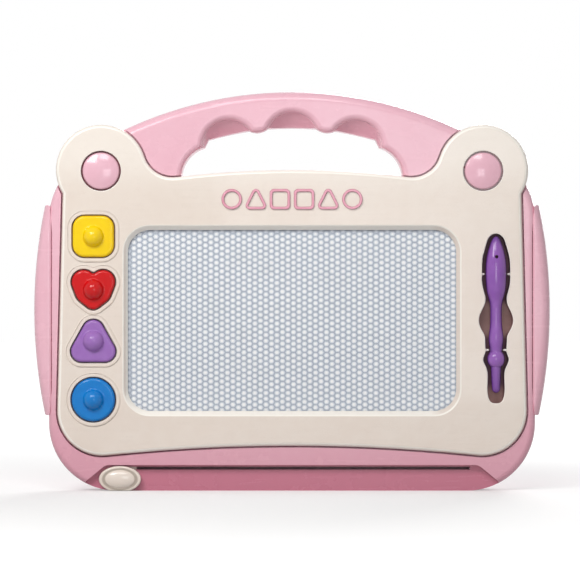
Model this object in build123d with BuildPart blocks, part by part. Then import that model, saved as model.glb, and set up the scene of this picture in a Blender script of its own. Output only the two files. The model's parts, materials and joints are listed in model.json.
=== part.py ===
from build123d import *
import os
from math import sqrt

# A child's magnetic drawing board, standing upright as it is seen from the front.
# X runs to the right, Z up, and the face looks along -Y. The origin lies at the middle of the base.
# A level is a distance from the middle plane of the depth towards the viewer.

# Driving sizes of the board
board_thickness = 34.0
knob_stand = 8.0
bezel_stand = 3.0
pocket_depth = 6.0
back_shell_depth = 16.0
wall = 2.4
floor_wall = 1.8
overrun = 4.0
bezel_gap = 1.2

overall_depth = board_thickness + knob_stand
bezel_face = overall_depth / 2 - knob_stand
case_face = bezel_face - bezel_stand
pocket_floor = case_face - pocket_depth
pocket_back = pocket_floor - floor_wall
case_rear = bezel_face - board_thickness
parting = case_rear + back_shell_depth

# Case outline, which follows the bezel's
case_strip = 5.6
case_corner = 50.0
case_shoulder_drop = 36.0
case_rounding = 5.0

# Bezel outline: a plate with two round ears, laid out from the window
bezel_side_band = 48.1
bezel_flare = 5.0
header_band = 44.4
ear_set = 20.0
ear_radius = 33.2
ear_overhang = 1.0
ear_top_fillet = 21.6
ear_side_fillet = 9.0
bezel_crown_drop = 14.4
bezel_base_height = 21.7
bezel_base_arch = 11.7
bezel_corner = 33.0
bezel_rounding = 3.0
cut_edge = 0.6
shoulder_drop_share = 0.4
junction_share = 0.1

# Handle: a rise is measured from the bezel's crown
handle_rise = 57.6
handle_end_drop = 36.3
handle_rounding = 7.0
finger_rounding = 4.5
gap_crown_rise = 31.7
gap_side_x = 61.6
gap_side_rise = 22.8
gap_foot_x = 81.5
gap_foot_drop = 4.3
gap_waist_x = 64.5
gap_waist_rise = 17.0
gap_corner_x = 76.2
gap_corner_rise = 9.2
foot_depth = 6.0
groove_radius = 19.5
groove_top_rise = 42.5
groove_side_top_rise = 36.9
groove_pitch = 46.7
groove_fade = 10.8
groove_fade_depth = 15.0
groove_lip = 5.5
groove_step = 0.3
groove_cusp = 3.8
bump_low_rise = 27.5
bump_radius = 13.0
bump_blend = 1.5
bump_shift = 1.5
handle_hollow = 9.0
handle_hollow_span = 190.0

# Side grips, let into the sides of the case
grip_bite = 2.6
grip_tip_bite = 0.8
grip_end_reach = 3.0
grip_reach = 11.0
grip_taper = 20.0
grip_low_height = 55.8
grip_top_rise = 10.2
grip_front_set = 0.3
grip_rear_set = 2.0
grip_outer_rounding = 7.0
grip_inner_rounding = 3.0
grip_end_rounding = 1.8

# Window and screen
window_width = 240.6
window_height = 132.4
window_corner = 16.0
window_foot = 59.2
window_slope = 3.6
window_depth = 4.5
window_boss = 8.0
screen_overlap = 4.2
gasket_set = 1.0
gasket_thickness = 0.5
front_film = 0.4
cell_layer = 1.8
rear_film = 0.3
frame_rail = 6.0
frame_side = 3.3

# Slider recess, slider knob and eraser
recess_height = 19.2
recess_top_set = 16.7
recess_end_set = 31.2
recess_end_height = 7.3
recess_corner = 8.0
park_set = 6.2
slider_height = 8.8
slider_width = 31.0
slider_tall = 19.2
slider_stand = 2.6
slider_gap = 0.4
slider_rim = 3.4
slider_rim_low = 2.6
slider_dome_rise = 2.4
slider_edge = 1.2
base_clearance = 0.3
neck_rise = 7.8
neck_tall = 1.4
neck_width = 8.0
slot_clearance = 0.4
socket_clearance = 0.1
socket_depth = 4.0
bar_gap = 0.5
bar_thickness = 3.5
bar_width = 9.0
bar_over = 8.0
rib_width = 6.0
rib_short = 1.4
magnet_thickness = 2.0
magnet_gap = 0.3
carriage_width = 24.0
carriage_height = 15.0
carriage_drop = 0.8
carriage_wall = 1.4
rail_gap = 0.3
rail_thickness = 1.6
rail_reach = 6.0
rail_side = 2.4

# Stamps, which hang below the left ear's cap in a column
stamp_set = 25.5
stamp_cap_drop = 48.1
stamp_spacings = (9.2, 7.4, 11.4)
stamp_gap = 0.7
stamp_proud = 1.5
stamp_seat = 0.3
stamp_well_depth = 5.8
stamp_well_floor = 1.2
stamp_edge = 2.4
stamp_rim = 2.7
stamp_rim_stand = 0.5
knob_radius = 7.4
knob_base_radius = 8.6
knob_neck = 1.0
square_width = 30.6
square_corner = 9.0
heart_width = 32.2
heart_height = 29.2
heart_lobe = 9.0
heart_cheek = 10.0
heart_cheek_spread = 3.5
heart_cheek_drop = 1.0
heart_tip = 6.8
heart_notch = 2.5
triangle_width = 33.0
triangle_height = 31.2
triangle_corner = 8.0
circle_diameter = 32.2
magnet_sheet = 1.6
magnet_inset = 3.0
stamp_kinds = ("square", "heart", "triangle", "circle")
stamp_heights = (square_width, heart_height, triangle_height, circle_diameter)

# Pen and its well
pen_set = 29.4
pen_tip_height = 72.3
pen_length = 114.8
pen_width = 15.2
pen_sink = 1.0
pen_stem_width = 8.8
pen_swell_width = 10.7
pen_collar_width = 12.8
pen_rod_width = 7.4
pen_nose_width = 6.0
pen_hole = 2.5
pen_magnet_length = 6.0
pen_magnet_width = 3.0
pen_magnet_gap = 2.0
pen_head_height_shares = (0.990, 0.973, 0.948, 0.922, 0.890, 0.850, 0.805)
pen_head_width_shares = (0.270, 0.430, 0.580, 0.705, 0.830, 0.940, 0.990)
pen_neck_height_shares = (0.690, 0.650, 0.618, 0.590, 0.550, 0.500, 0.430)
pen_neck_width_shares = (0.955, 0.885, 0.770, 0.655, 0.570, 0.560, 0.590)
pen_widest_share = 0.760
pen_swell_share = 0.338
pen_stem_share = 0.262
pen_collar_share = 0.217
pen_rod_share = 0.165
pen_nose_share = 0.025
pen_split_share = 0.155
pen_hole_share = 0.870
well_tip_gap = 7.7
well_top_gap = 2.0
well_bay_width = 25.0
well_height_shares = (
    (0.989, 0.966, 0.936, 0.863, 0.766, 0.713, 0.662, 0.614, 0.578, 0.533, 0.485)
    + (0.441, 0.398, 0.341, 0.303, 0.258, 0.230, 0.205, 0.116, 0.041, 0.009)
)
well_width_shares = (
    (0.310, 0.480, 0.580, 0.776, 0.832, 0.816, 0.712, 0.616, 0.688, 0.904, 1.0)
    + (0.880, 0.664, 0.628, 0.616, 0.750, 0.660, 0.550, 0.500, 0.462, 0.310)
)
well_depth = 13.0
tray_wall = 1.2
tray_floor = 1.5
nub_height_shares = (0.759, 0.274)
nub_reach_shares = (0.85, 0.66)
nub_thickness = 1.6
nub_clearance = 0.7
saddle_thickness = 3.0
saddle_width_share = 0.7
saddle_clearance = 0.3

# Ear caps
cap_drop = 0.8
cap_hole = 29.4
cap_dome = 26.8
cap_dome_rise = 1.6
cap_flange = 35.0
cap_flange_thickness = 1.4
cap_edge = 0.8

# Raised figures on the bezel
figure_drop = 21.6
figure_size = 15.0
figure_pitch = 17.7
figure_stroke = 2.0
figure_stand = 1.4
figure_edge = 0.5
figure_corner = 3.0
figure_kinds = ("ring", "triangle", "square", "square", "triangle", "ring")

# Screws
screw_diameter = 3.0
screw_head = 6.0
screw_head_thickness = 2.2
screw_length = 14.0
screw_recess_share = 0.6
screw_slot = 1.0
screw_clearance = 0.2
post_diameter = 8.0
screw_well = 8.0
screw_well_depth = 8.0
bezel_post = 7.0
bezel_screw_length = 7.0
bezel_screw_head = 5.0
bezel_screw_head_thickness = 1.6
bezel_screw_diameter = 2.2
leg_screw_set = 16.5
leg_screw_rise = 20.0
handle_screw_drop = 11.6
crown_screw_drop = 17.0
shoulder_screw_set = 10.0
shoulder_screw_drop = 33.0
foot_screw_set = 22.0
foot_screw_height = 38.0
header_screw_set = 8.3
header_screw_drop = 23.0
figure_screw_x = 38.0
figure_screw_drop = 20.0
base_screw_set = 13.5

# Sizes worked out from those above: the window's sizes place the rest of the front
window_half = window_width / 2
window_centre_height = window_foot + window_height / 2
bezel_crown_height = window_foot + window_height + header_band
bezel_shoulder_half = window_half + bezel_side_band
bezel_base_half = bezel_shoulder_half + bezel_flare
case_half = bezel_base_half + case_strip
case_shoulder_height = bezel_crown_height - case_shoulder_drop
ear_x = window_half + ear_set
ear_height = bezel_crown_height
cap_height = ear_height - cap_drop
handle_height = bezel_crown_height + handle_rise
gap_crown_height = bezel_crown_height + gap_crown_rise
gap_side_height = bezel_crown_height + gap_side_rise
gap_waist_height = bezel_crown_height + gap_waist_rise
gap_corner_height = bezel_crown_height + gap_corner_rise
gap_foot_height = bezel_crown_height - gap_foot_drop
groove_top_height = bezel_crown_height + groove_top_rise
groove_side_top_height = bezel_crown_height + groove_side_top_rise
bump_low_height = bezel_crown_height + bump_low_rise
grip_inner_x = case_half - grip_bite
grip_tip_x = case_half - grip_tip_bite
grip_end_x = case_half + grip_end_reach
grip_bulge_x = case_half + grip_reach
grip_top_height = case_shoulder_height + grip_top_rise
grip_middle_height = (grip_low_height + grip_top_height) / 2
slider_park_x = window_half + park_set
neck_height = slider_height + neck_rise
bar_low_height = neck_height + neck_tall / 2 + rail_gap
stamp_x = window_half + stamp_set
pen_x = window_half + pen_set
figure_height = bezel_crown_height - figure_drop
handle_screw_height = handle_height - handle_screw_drop
bezel_back = bezel_face - wall
screen_level = bezel_face - window_depth
film_front = screen_level - gasket_thickness
cell_front = film_front - front_film
cell_back = cell_front - cell_layer
film_back = cell_back - rear_film
screen_width = window_width + 2 * screen_overlap
screen_height = window_height + 2 * screen_overlap
screen_corner = window_corner + screen_overlap
sweep_half = slider_park_x + bar_width / 2 + rail_gap
bar_face = pocket_back - bar_gap
bar_back = bar_face - bar_thickness
magnet_face = film_back - magnet_gap
magnet_back = magnet_face - magnet_thickness
wiper_height = window_height - 2 * rib_short
sweep_height = window_height + 2 * bar_gap
bar_top_height = window_centre_height + window_height / 2 + bar_over
stamp_face = bezel_face + stamp_proud
stamp_well = bezel_face - stamp_well_depth
stamp_back = stamp_well + stamp_seat
knob_top = bezel_face + knob_stand
pen_axis = bezel_face - pen_sink
pen_top_height = pen_tip_height + pen_length
well_low_height = pen_tip_height - well_tip_gap
well_top_height = pen_top_height + well_top_gap
well_length = well_top_height - well_low_height
tray_bottom = bezel_face - well_depth
slider_back = pocket_floor + slider_gap
slider_face = case_face + slider_stand
full_turn = 360
diagonal = sqrt(0.5)
case_screw_tip = case_rear + screw_well_depth + screw_length
carriage_low_height = slider_height - carriage_drop
carriage_face = pocket_back - rail_gap
carriage_back = bar_back - carriage_wall
slider_rim_level = slider_face - slider_dome_rise
rail_width = 2 * (slider_park_x + carriage_width / 2 + rail_side)


def both_sides(x, height):
    """The same place on the left and on the right."""
    return (-x, height), (x, height)


case_screw_places = (
    *both_sides(gap_foot_x + leg_screw_set, bezel_crown_height + leg_screw_rise),
    (0, handle_screw_height),
    (0, bezel_crown_height - crown_screw_drop),
    *both_sides(case_half - shoulder_screw_set, bezel_crown_height - shoulder_screw_drop),
    *both_sides(case_half - foot_screw_set, foot_screw_height),
)
bezel_screw_places = (
    *both_sides(window_half - header_screw_set, bezel_crown_height - header_screw_drop),
    *both_sides(figure_screw_x, bezel_crown_height - figure_screw_drop),
    *both_sides(slider_park_x + base_screw_set, foot_screw_height),
)


def rounded_plate(width, height, corner):
    """A rectangle with round corners, centred on the screen's middle."""
    with BuildSketch() as made:
        with Locations((0, window_centre_height)):
            RectangleRounded(width, height, corner)
    return made.sketch


def bezel_outline():
    """The cream plate with its two ears, seen from the front."""
    shoulder_height = ear_height - ear_radius * shoulder_drop_share
    with BuildSketch() as made:
        with BuildLine():
            TangentArc(
                (0, bezel_crown_height), (ear_x, bezel_crown_height - bezel_crown_drop), tangent=(1, 0)
            )
            Line(
                (ear_x, bezel_crown_height - bezel_crown_drop),
                (bezel_shoulder_half, shoulder_height),
            )
            Line((bezel_shoulder_half, shoulder_height), (bezel_base_half, bezel_base_height))
            TangentArc(
                (0, bezel_base_height + bezel_base_arch),
                (bezel_base_half, bezel_base_height),
                tangent=(1, 0),
            )
            mirror(about=Plane.YZ)
        make_face()
        fillet(made.vertices().sort_by(Axis.Y)[:2], bezel_corner)
        with Locations(*both_sides(ear_x, ear_height)):
            Circle(ear_radius)
        junctions = [
            corner
            for corner in made.vertices()
            if window_centre_height < corner.Y < ear_height - ear_radius * junction_share
        ]
        tops = [corner for corner in junctions if abs(corner.X) < ear_x]
        sides = [corner for corner in junctions if abs(corner.X) > ear_x]
        fillet(tops, ear_top_fillet)
        fillet(sides, ear_side_fillet)
    return made.sketch


def body_outline(inset):
    """The pink case below the bezel's top edge, without ears, handle or the seats of the grips."""
    top_height = bezel_crown_height - ear_overhang - inset
    ear_line = top_height - bezel_crown_drop
    shoulder_x = ear_x + ear_radius * diagonal - inset
    half = case_half - inset
    corner = case_corner - inset
    with BuildSketch() as made:
        with BuildLine():
            Line((0, inset), (half - corner, inset))
            TangentArc((half - corner, inset), (half, case_corner), tangent=(1, 0))
            Line((half, case_corner), (half, case_shoulder_height))
            TangentArc((half, case_shoulder_height), (shoulder_x, ear_height), tangent=(0, 1))
            Line((shoulder_x, ear_height), (ear_x, ear_line))
            TangentArc((0, top_height), (ear_x, ear_line), tangent=(1, 0))
            mirror(about=Plane.YZ)
        make_face()
    return made.sketch


def ear_discs(inset):
    """The case under the two ears, a little smaller than the ears themselves."""
    with BuildSketch() as made:
        with Locations(*both_sides(ear_x, ear_height)):
            Circle(ear_radius - ear_overhang - inset)
    return made.sketch


def handle_outline():
    """The arched handle and its legs, open below between the legs."""
    foot_height = gap_foot_height - foot_depth
    end_height = handle_height - handle_end_drop
    with BuildSketch() as made:
        with BuildLine():
            TangentArc((0, handle_height), (ear_x, end_height), tangent=(1, 0))
            Line((ear_x, end_height), (ear_x, foot_height))
            Line((ear_x, foot_height), (gap_foot_x, foot_height))
            Line((gap_foot_x, foot_height), (gap_foot_x, gap_foot_height))
            ThreePointArc(
                (gap_foot_x, gap_foot_height),
                (gap_corner_x, gap_corner_height),
                (gap_waist_x, gap_waist_height),
            )
            Line((gap_waist_x, gap_waist_height), (gap_side_x, gap_side_height))
            TangentArc((0, gap_crown_height), (gap_side_x, gap_side_height), tangent=(1, 0))
            mirror(about=Plane.YZ)
        make_face()
    return made.sketch


def grip_outline(side):
    """One side grip seen from the front: a long lobe with slanting, rounded ends."""
    with BuildSketch() as made:
        with BuildLine():
            Polyline(
                (side * grip_end_x, grip_low_height),
                (side * grip_tip_x, grip_low_height),
                (side * grip_inner_x, grip_low_height + grip_taper),
                (side * grip_inner_x, grip_top_height - grip_taper),
                (side * grip_tip_x, grip_top_height),
                (side * grip_end_x, grip_top_height),
            )
            ThreePointArc(
                (side * grip_end_x, grip_top_height),
                (side * grip_bulge_x, grip_middle_height),
                (side * grip_end_x, grip_low_height),
            )
        make_face()
        ends = [corner for corner in made.vertices() if abs(corner.X) > (grip_inner_x + grip_tip_x) / 2]
        fillet(ends, grip_end_rounding)
    return made.sketch


def case_hollow():
    """The inside of the case, one wall in from its outline and from the grips."""
    slot_depth = grip_bite + wall + overrun
    with BuildSketch() as made:
        add(body_outline(wall))
        add(ear_discs(wall))
        with Locations(*both_sides(grip_inner_x - wall + slot_depth / 2, grip_middle_height)):
            Rectangle(slot_depth, grip_top_height - grip_low_height + 2 * wall, mode=Mode.SUBTRACT)
    return made.sketch


def handle_band():
    """The hollow in the handle: a band that follows its outer arc and leaves the middle screw post."""
    arc_radius = (ear_x**2 + handle_end_drop**2) / (2 * handle_end_drop)
    centre_height = handle_height - arc_radius
    with BuildSketch() as made:
        with Locations((0, centre_height)):
            Circle(arc_radius - wall)
            Circle(arc_radius - wall - handle_hollow, mode=Mode.SUBTRACT)
        with Locations((0, handle_height)):
            Rectangle(handle_hollow_span, 2 * handle_end_drop, mode=Mode.INTERSECT)
        with Locations((0, handle_screw_height)):
            Circle(post_diameter, mode=Mode.SUBTRACT)
    return made.sketch


def heart_half(side, grow):
    """One lobe of the heart, joined to its tip by a side that swells a little."""
    with BuildSketch() as made:
        with BuildLine():
            CenterArc(
                (side * (heart_width / 2 - heart_lobe), heart_height / 2 - heart_lobe),
                heart_lobe + grow,
                0,
                full_turn,
            )
            CenterArc(
                (side * heart_cheek_spread, -heart_cheek_drop), heart_cheek + grow, 0, full_turn
            )
            CenterArc((0, heart_tip - heart_height / 2), heart_tip + grow, 0, full_turn)
        make_hull()
    return made.sketch


def stamp_outline(kind, grow):
    """One stamp's outline about its own centre, grown by a margin all round."""
    with BuildSketch() as made:
        if kind == "square":
            RectangleRounded(square_width + 2 * grow, square_width + 2 * grow, square_corner + grow)
        if kind == "circle":
            Circle(circle_diameter / 2 + grow)
        if kind == "triangle":
            add(triangle_hull(triangle_width, triangle_height, triangle_corner, grow))
        if kind == "heart":
            add(heart_half(-1, grow))
            add(heart_half(1, grow))
            notch = [corner for corner in made.vertices() if abs(corner.X) < heart_notch and corner.Y > 0]
            if grow >= 0:
                fillet(notch, heart_notch)
    return made.sketch


def stamp_height(index):
    """The height of a stamp's centre, counted from the top one, each a spacing below the last."""
    height = cap_height - stamp_cap_drop
    for step in range(index):
        height -= (stamp_heights[step] + stamp_heights[step + 1]) / 2 + stamp_spacings[step]
    return height


def well_outline(grow):
    """The pen's well, grown by a margin all round: a smooth closed line through its stations."""
    half = well_bay_width / 2
    right = [
        (half * width_share + grow, well_low_height + well_length * height_share)
        for height_share, width_share in zip(well_height_shares, well_width_shares)
    ]
    left = [(-x, height) for x, height in reversed(right)]
    ends = ((0, well_top_height + grow), (0, well_low_height - grow))
    with BuildSketch() as made:
        with BuildLine():
            Spline(ends[0], *right, ends[1], *left, periodic=True)
        make_face()
    return made.sketch


def recess_outline():
    """The slider's recess: open at the base, with slanting ends and round upper corners."""
    with BuildSketch() as made:
        with BuildLine():
            Polyline(
                (0, recess_height),
                (window_half + recess_top_set, recess_height),
                (window_half + recess_end_set, recess_end_height),
                (window_half + recess_end_set, -overrun),
                (0, -overrun),
            )
            mirror(about=Plane.YZ)
        make_face()
        fillet(made.vertices().sort_by(Axis.Y)[-2:], recess_corner)
    return made.sketch


def triangle_hull(width, height, corner, grow):
    """A triangle with round corners, point up, grown by a margin all round."""
    reach = width / 2 - corner
    low = corner - height / 2
    with BuildSketch() as made:
        with BuildLine():
            CenterArc((-reach, low), corner + grow, 0, full_turn)
            CenterArc((reach, low), corner + grow, 0, full_turn)
            CenterArc((0, -low), corner + grow, 0, full_turn)
        make_hull()
    return made.sketch


def figure_outline(kind):
    """One raised figure, a closed band about its own centre."""
    half = figure_size / 2
    with BuildSketch() as made:
        if kind == "ring":
            Circle(half)
            Circle(half - figure_stroke, mode=Mode.SUBTRACT)
        if kind == "square":
            RectangleRounded(figure_size, figure_size, figure_corner)
            RectangleRounded(
                figure_size - 2 * figure_stroke,
                figure_size - 2 * figure_stroke,
                figure_corner - figure_stroke / 2,
                mode=Mode.SUBTRACT,
            )
        if kind == "triangle":
            add(triangle_hull(figure_size, figure_size, figure_corner, 0))
            add(triangle_hull(figure_size, figure_size, figure_corner, -figure_stroke), mode=Mode.SUBTRACT)
    return made.sketch


def placed(sketch, x, height):
    """A sketch moved to a place on the front."""
    return sketch.moved(Location((x, height, 0)))


def slider_outline(grow):
    """The oval of the slider knob about its own centre."""
    with BuildSketch() as made:
        Ellipse(slider_width / 2 + grow, slider_tall / 2 + grow)
        with Locations((0, -slider_tall / 2 + (slider_tall / 2 - slider_height + base_clearance) / 2)):
            Rectangle(
                slider_width + overrun,
                slider_tall / 2 - slider_height + base_clearance,
                mode=Mode.SUBTRACT,
            )
    return made.sketch


def slider_dome():
    """The knob's dome, a ball stretched to an oval and flattened, about its own centre."""
    with BuildPart() as made:
        Sphere(slider_dome_rise + slider_edge)
        scale(
            by=(
                (slider_width / 2 - slider_rim) / (slider_dome_rise + slider_edge),
                1,
                (slider_tall / 2 - slider_rim_low) / (slider_dome_rise + slider_edge),
            )
        )
    return made.part


def ear_block(low_level, high_level):
    """The round corners of the rear shell behind the ears, rounded at the rear."""
    with BuildPart() as made:
        with BuildSketch(Plane.XZ.offset(low_level)):
            add(ear_discs(0))
        extrude(amount=high_level - low_level)
        fillet(made.faces().group_by(Axis.Y)[-1].edges(), case_rounding)
    return made.part


def groove_places(drop):
    """The centres of the three finger grooves, lowered by a drop."""
    tops = (groove_side_top_height, groove_top_height, groove_side_top_height)
    return [
        ((index - 1) * groove_pitch, top_height - groove_radius - drop)
        for index, top_height in enumerate(tops)
    ]


def finger_outline():
    """The handle's outline with the two bumps that part the fingers."""
    middle = sqrt(groove_radius**2 - (bump_low_height - groove_top_height + groove_radius) ** 2)
    outer = groove_pitch - sqrt(
        groove_radius**2 - (bump_low_height - groove_side_top_height + groove_radius) ** 2
    )
    with BuildSketch() as made:
        add(handle_outline())
        with Locations(*both_sides((middle + outer) / 2 + bump_shift, bump_low_height + bump_radius)):
            Circle(bump_radius)
        blends = [
            corner
            for corner in made.vertices()
            if groove_radius / 2 < abs(corner.X) < groove_pitch
            and gap_side_height < corner.Y < gap_crown_height
        ]
        fillet(blends, bump_blend)
    return made.sketch


def grooved_outline():
    """The handle's outline at its front: three finger grooves with round bumps between them."""
    with BuildSketch() as made:
        add(finger_outline())
        with Locations(*groove_places(0)):
            Circle(groove_radius, mode=Mode.SUBTRACT)
        cusps = [
            corner
            for corner in made.vertices()
            if gap_corner_height < corner.Y < gap_crown_height and abs(corner.X) < gap_corner_x
        ]
        fillet(cusps, groove_cusp)
    return made.sketch


def front_handle():
    """The handle's front half, with finger grooves that fade out towards the parting line."""
    lip_level = case_face - groove_lip
    with BuildPart() as made:
        with BuildSketch(Plane.XZ.offset(parting)):
            add(finger_outline())
        extrude(amount=lip_level - parting)
        for index in range(len(groove_places(0))):
            with BuildSketch(Plane.XZ.offset(lip_level)):
                with Locations(groove_places(0)[index]):
                    Circle(groove_radius - groove_step)
            with BuildSketch(Plane.XZ.offset(case_face - groove_fade_depth)):
                with Locations(groove_places(groove_fade)[index]):
                    Circle(groove_radius)
            loft(mode=Mode.SUBTRACT)
        with BuildSketch(Plane.XZ.offset(lip_level)):
            add(grooved_outline())
        extrude(amount=groove_lip)
        rim = made.faces().sort_by(Axis.Y)[0].edges()
        fillet([edge for edge in rim if (edge @ 0.5).Z > groove_top_height], handle_rounding)
        rim = made.faces().sort_by(Axis.Y)[0].edges()
        fingers = [
            edge
            for edge in rim
            if abs((edge @ 0.5).X) < gap_foot_x and gap_foot_height < (edge @ 0.5).Z <= groove_top_height
        ]
        fillet(fingers, finger_rounding)
    return made.part


def rear_handle():
    """The handle's rear half, with rounded rear edges."""
    with BuildPart() as made:
        with BuildSketch(Plane.XZ.offset(case_rear)):
            add(handle_outline())
        extrude(amount=back_shell_depth)
        rim = made.faces().sort_by(Axis.Y)[-1].edges()
        fillet([edge for edge in rim if (edge @ 0.5).Z > groove_top_height], handle_rounding)
        rim = made.faces().sort_by(Axis.Y)[-1].edges()
        fingers = [
            edge
            for edge in rim
            if abs((edge @ 0.5).X) < gap_foot_x and gap_foot_height < (edge @ 0.5).Z <= groove_top_height
        ]
        fillet(fingers, finger_rounding)
    return made.part


# Front half of the pink case
with BuildPart() as case_front:
    with BuildSketch(Plane.XZ.offset(parting)):
        add(body_outline(0))
    extrude(amount=case_face - parting)
    front_rim = case_front.faces().sort_by(Axis.Y)[0].edges()
    fillet([edge for edge in front_rim if 0 < (edge @ 0.5).Z < ear_height - ear_radius], case_rounding)
    add(front_handle())
    with BuildSketch(Plane.XZ.offset(parting)):
        add(ear_discs(0))
    extrude(amount=pocket_floor - parting)
    with BuildSketch(Plane.XZ.offset(parting)):
        add(grip_outline(-1))
        add(grip_outline(1))
    extrude(amount=case_face - parting, mode=Mode.SUBTRACT)
    with BuildSketch(Plane.XZ.offset(pocket_floor)):
        offset(bezel_outline(), amount=bezel_gap)
    extrude(amount=pocket_depth + overrun, mode=Mode.SUBTRACT)
    with BuildSketch(Plane.XZ.offset(parting)):
        add(case_hollow())
    extrude(amount=pocket_back - parting, mode=Mode.SUBTRACT)
    with BuildSketch(Plane.XZ.offset(parting)):
        add(handle_band())
    extrude(amount=case_face - wall - parting, mode=Mode.SUBTRACT)
    with BuildSketch(Plane.XZ.offset(pocket_floor)):
        add(recess_outline())
    extrude(amount=pocket_depth + overrun, mode=Mode.SUBTRACT)
    with BuildSketch(Plane.XZ.offset(pocket_back)):
        with Locations((0, neck_height)):
            Rectangle(
                2 * slider_park_x + neck_width + 2 * slot_clearance,
                neck_tall + 2 * slot_clearance,
            )
        with Locations((0, window_centre_height)):
            Rectangle(2 * sweep_half, sweep_height)
        add(placed(well_outline(tray_wall + saddle_clearance), pen_x, 0))
    extrude(amount=floor_wall, mode=Mode.SUBTRACT)
    with BuildSketch(Plane.XZ.offset(parting)):
        with Locations(*case_screw_places):
            Circle(post_diameter / 2)
    extrude(amount=pocket_back - parting)
    with BuildSketch(Plane.XZ.offset(parting)):
        with Locations(*case_screw_places):
            Circle(screw_diameter / 2 + socket_clearance)
    extrude(amount=case_screw_tip + screw_clearance - parting, mode=Mode.SUBTRACT)
    with BuildSketch(Plane.XZ.offset(pocket_back)):
        with Locations(*bezel_screw_places):
            Circle(bezel_screw_diameter / 2 + screw_clearance)
    extrude(amount=floor_wall, mode=Mode.SUBTRACT)

# Rear half of the pink case
with BuildPart() as case_back:
    with BuildSketch(Plane.XZ.offset(case_rear)):
        add(body_outline(0))
    extrude(amount=back_shell_depth)
    rear_rim = case_back.faces().sort_by(Axis.Y)[-1].edges()
    fillet([edge for edge in rear_rim if (edge @ 0.5).Z < ear_height - ear_radius], case_rounding)
    add(rear_handle())
    add(ear_block(case_rear, parting))
    with BuildSketch(Plane.XZ.offset(case_rear)):
        add(grip_outline(-1))
        add(grip_outline(1))
    extrude(amount=back_shell_depth, mode=Mode.SUBTRACT)
    with BuildSketch(Plane.XZ.offset(case_rear + wall)):
        add(case_hollow())
        add(handle_band())
    extrude(amount=back_shell_depth, mode=Mode.SUBTRACT)
    with BuildSketch(Plane.XZ.offset(case_rear + wall)):
        with Locations(*case_screw_places):
            Circle(screw_well / 2 + wall)
    extrude(amount=back_shell_depth - wall)
    with BuildSketch(Plane.XZ.offset(case_rear)):
        with Locations(*case_screw_places):
            Circle(screw_well / 2)
    extrude(amount=screw_well_depth, mode=Mode.SUBTRACT)
    with BuildSketch(Plane.XZ.offset(case_rear)):
        with Locations(*case_screw_places):
            Circle(screw_diameter / 2 + screw_clearance)
    extrude(amount=back_shell_depth, mode=Mode.SUBTRACT)

# Cream bezel with its stamp wells, pen cut-out, nubs and screw posts
with BuildPart() as front_bezel:
    with BuildSketch(Plane.XZ.offset(pocket_floor)):
        add(bezel_outline())
    extrude(amount=bezel_face - pocket_floor)
    fillet(front_bezel.faces().sort_by(Axis.Y)[0].edges(), bezel_rounding)
    with BuildSketch(Plane.XZ.offset(pocket_floor)):
        offset(bezel_outline(), amount=-wall)
    extrude(amount=bezel_back - pocket_floor, mode=Mode.SUBTRACT)
    with BuildSketch(Plane.XZ.offset(screen_level)):
        add(rounded_plate(window_width + 2 * window_boss, window_height + 2 * window_boss, screen_corner))
    extrude(amount=window_depth - wall)
    with BuildSketch(Plane.XZ.offset(bezel_face)):
        add(
            rounded_plate(
                window_width + 2 * window_slope,
                window_height + 2 * window_slope,
                window_corner + window_slope,
            )
        )
    with BuildSketch(Plane.XZ.offset(screen_level)):
        add(rounded_plate(window_width, window_height, window_corner))
    loft(mode=Mode.SUBTRACT)
    for index, kind in enumerate(stamp_kinds):
        with BuildSketch(Plane.XZ.offset(stamp_well - stamp_well_floor)):
            add(placed(stamp_outline(kind, stamp_gap + stamp_well_floor), -stamp_x, stamp_height(index)))
        extrude(amount=stamp_well_depth)
        with BuildSketch(Plane.XZ.offset(bezel_back)):
            add(placed(stamp_outline(kind, stamp_gap + stamp_rim), -stamp_x, stamp_height(index)))
        extrude(amount=wall + stamp_rim_stand)
        with BuildSketch(Plane.XZ.offset(stamp_well)):
            add(placed(stamp_outline(kind, stamp_gap), -stamp_x, stamp_height(index)))
        extrude(amount=stamp_well_depth + overrun, mode=Mode.SUBTRACT)
    with BuildSketch(Plane.XZ.offset(bezel_back)):
        add(placed(well_outline(0), pen_x, 0))
    extrude(amount=wall, mode=Mode.SUBTRACT)
    for index, width in enumerate((pen_width, pen_stem_width)):
        near = width / 2 + nub_clearance
        far = well_bay_width / 2 * nub_reach_shares[index]
        height = pen_tip_height + pen_length * nub_height_shares[index]
        with BuildSketch(Plane.XZ.offset(bezel_back)):
            with Locations((pen_x - (near + far) / 2, height), (pen_x + (near + far) / 2, height)):
                Rectangle(far - near, nub_thickness)
        extrude(amount=wall - cut_edge)
    with BuildSketch(Plane.XZ.offset(bezel_back)):
        with Locations(*both_sides(ear_x, cap_height)):
            Circle(cap_hole / 2)
    extrude(amount=wall, mode=Mode.SUBTRACT)
    with BuildSketch(Plane.XZ.offset(pocket_floor)):
        with Locations(*bezel_screw_places):
            Circle(bezel_post / 2)
    extrude(amount=bezel_back - pocket_floor)
    with BuildSketch(Plane.XZ.offset(pocket_floor)):
        with Locations(*bezel_screw_places):
            Circle(bezel_screw_diameter / 2 + socket_clearance)
    extrude(amount=bezel_screw_length - floor_wall + screw_clearance, mode=Mode.SUBTRACT)


def grip_section(near_x, far_x, rounding):
    """The grip's cross section from front to rear, with round corners."""
    low_level = case_rear + grip_rear_set
    high_level = case_face - grip_front_set
    with BuildSketch() as made:
        with Locations(((near_x + far_x) / 2, -(low_level + high_level) / 2)):
            RectangleRounded(abs(far_x - near_x), high_level - low_level, rounding)
    return made.sketch


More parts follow.
